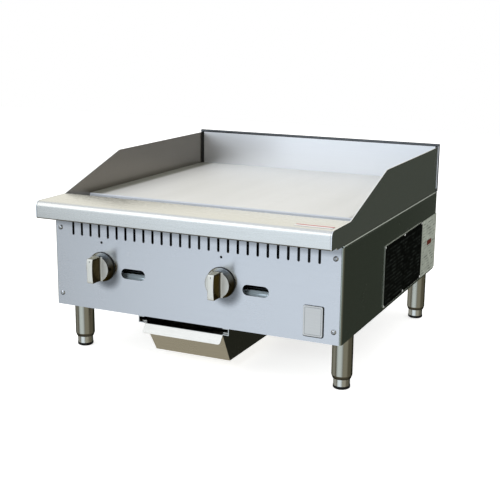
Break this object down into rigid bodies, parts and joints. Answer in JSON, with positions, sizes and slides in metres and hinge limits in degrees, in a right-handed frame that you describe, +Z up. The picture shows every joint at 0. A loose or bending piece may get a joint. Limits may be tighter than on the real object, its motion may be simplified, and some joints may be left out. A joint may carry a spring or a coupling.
{
  "type": "flat top griddle",
  "caption": "Countertop gas flat top griddle: steel casing, thick plate with splash guards, front ledge, control knobs, slide-out grease tray and adjustable legs.",
  "frame": {"origin": "centre of the envelope on the surface the feet stand on", "axes": "+Z up, front faces -Y, +X to the right seen from the front"},
  "size_m": [0.6104, 0.698, 0.395],
  "materials": {
    "casing_steel": "satin",
    "side_steel": "satin",
    "plate_steel": "polished",
    "ledge_steel": "satin",
    "leg_steel": "satin",
    "tray_steel": "satin",
    "hidden_steel": "satin",
    "knob_metal": "satin",
    "black_plastic": "matte",
    "glide_plastic": "matte",
    "burner_iron": "matte",
    "pipe_iron": "satin",
    "brass_fittings": "satin",
    "screw_steel": "polished",
    "badge_metal": "satin",
    "plate_black": "satin",
    "label_pale": "matte",
    "label_white": "matte"
  },
  "bodies": {
    "casing": {"front_panel": "casing_steel", "rear_panel": "casing_steel", "left_splash": "casing_steel", "right_splash": "casing_steel", "back_splash": "casing_steel", "left_side_panel": "side_steel", "right_side_panel": "side_steel", "griddle_plate": "plate_steel", "front_ledge": "ledge_steel", "tray_rail_left": "tray_steel", "tray_rail_right": "tray_steel", "bottom_pan": "hidden_steel", "grease_trough": "hidden_steel", "grease_chute": "hidden_steel", "heat_baffle": "hidden_steel", "pilot_tube_left": "hidden_steel", "pilot_tube_right": "hidden_steel", "pilot_burner_left": "hidden_steel", "pilot_burner_right": "hidden_steel", "knob_bezel_left": "black_plastic", "knob_bezel_right": "black_plastic", "burner_left": "burner_iron", "burner_right": "burner_iron", "plate_angle_left": "burner_iron", "plate_angle_right": "burner_iron", "gas_manifold": "pipe_iron", "gas_inlet_coupling": "brass_fittings", "gas_valve_left": "brass_fittings", "gas_valve_right": "brass_fittings", "orifice_hood_left": "brass_fittings", "orifice_hood_right": "brass_fittings", "pilot_valve_left": "brass_fittings", "pilot_valve_right": "brass_fittings", "badge": "badge_metal", "data_plate": "plate_black", "side_label": "label_pale", "ledge_label": "label_white", "panel_screw_lower_left": "screw_steel", "panel_screw_lower_right": "screw_steel", "panel_screw_upper_left": "screw_steel", "panel_screw_upper_right": "screw_steel", "leg_front_left": "leg_steel", "leg_front_right": "leg_steel", "leg_back_left": "leg_steel", "leg_back_right": "leg_steel"},
    "grease_tray": {"grease_tray": "tray_steel"},
    "knob_left": {"knob_left": "knob_metal", "valve_stem_left": "hidden_steel"},
    "air_shutter_left": {"air_shutter_left": "hidden_steel"},
    "knob_right": {"knob_right": "knob_metal", "valve_stem_right": "hidden_steel"},
    "air_shutter_right": {"air_shutter_right": "hidden_steel"},
    "foot_front_left": {"foot_glide_front_left": "glide_plastic"},
    "insert_front_left": {"foot_insert_front_left": "hidden_steel"},
    "foot_front_right": {"foot_glide_front_right": "glide_plastic"},
    "insert_front_right": {"foot_insert_front_right": "hidden_steel"},
    "foot_back_left": {"foot_glide_back_left": "glide_plastic"},
    "insert_back_left": {"foot_insert_back_left": "hidden_steel"},
    "foot_back_right": {"foot_glide_back_right": "glide_plastic"},
    "insert_back_right": {"foot_insert_back_right": "hidden_steel"}
  },
  "joints": [
    {"name": "knob_left_turn", "type": "hinge", "parent": "casing", "child": "knob_left", "pos_m": [-0.1954, -0.299, 0.1925], "axis": [0, -1, 0], "range_deg": [0, 90]},
    {"name": "air_shutter_left_turn", "type": "hinge", "parent": "casing", "child": "air_shutter_left", "pos_m": [-0.1954, -0.19, 0.1925], "axis": [0, -1, 0], "range_deg": [0, 60]},
    {"name": "knob_right_turn", "type": "hinge", "parent": "casing", "child": "knob_right", "pos_m": [0.0656, -0.299, 0.1925], "axis": [0, -1, 0], "range_deg": [0, 90]},
    {"name": "air_shutter_right_turn", "type": "hinge", "parent": "casing", "child": "air_shutter_right", "pos_m": [0.0656, -0.19, 0.1925], "axis": [0, -1, 0], "range_deg": [0, 60]},
    {"name": "grease_tray_slide", "type": "slide", "parent": "casing", "child": "grease_tray", "axis": [0, -1, 0], "range_m": [0, 0.24]},
    {"name": "foot_front_left_height", "type": "slide", "parent": "casing", "child": "foot_front_left", "axis": [0, 0, -1], "range_m": [-0.01, 0.02]},
    {"name": "insert_front_left_thread", "type": "hinge", "parent": "foot_front_left", "child": "insert_front_left", "pos_m": [-0.2852, -0.2215, 0.01], "axis": [0, 0, 1], "range_deg": [-1500, 3000]},
    {"name": "foot_front_right_height", "type": "slide", "parent": "casing", "child": "foot_front_right", "axis": [0, 0, -1], "range_m": [-0.01, 0.02]},
    {"name": "insert_front_right_thread", "type": "hinge", "parent": "foot_front_right", "child": "insert_front_right", "pos_m": [0.2844, -0.2215, 0.01], "axis": [0, 0, 1], "range_deg": [-1500, 3000]},
    {"name": "foot_back_left_height", "type": "slide", "parent": "casing", "child": "foot_back_left", "axis": [0, 0, -1], "range_m": [-0.01, 0.02]},
    {"name": "insert_back_left_thread", "type": "hinge", "parent": "foot_back_left", "child": "insert_back_left", "pos_m": [-0.2852, 0.2815, 0.01], "axis": [0, 0, 1], "range_deg": [-1500, 3000]},
    {"name": "foot_back_right_height", "type": "slide", "parent": "casing", "child": "foot_back_right", "axis": [0, 0, -1], "range_m": [-0.01, 0.02]},
    {"name": "insert_back_right_thread", "type": "hinge", "parent": "foot_back_right", "child": "insert_back_right", "pos_m": [0.2844, 0.2815, 0.01], "axis": [0, 0, 1], "range_deg": [-1500, 3000]}
  ],
  "couplings": [
    {"joint": "insert_front_left_thread", "follows": "foot_front_left_height", "rad_per_m": 2513.3},
    {"joint": "insert_front_right_thread", "follows": "foot_front_right_height", "rad_per_m": 2513.3},
    {"joint": "insert_back_left_thread", "follows": "foot_back_left_height", "rad_per_m": 2513.3},
    {"joint": "insert_back_right_thread", "follows": "foot_back_right_height", "rad_per_m": 2513.3}
  ]
}
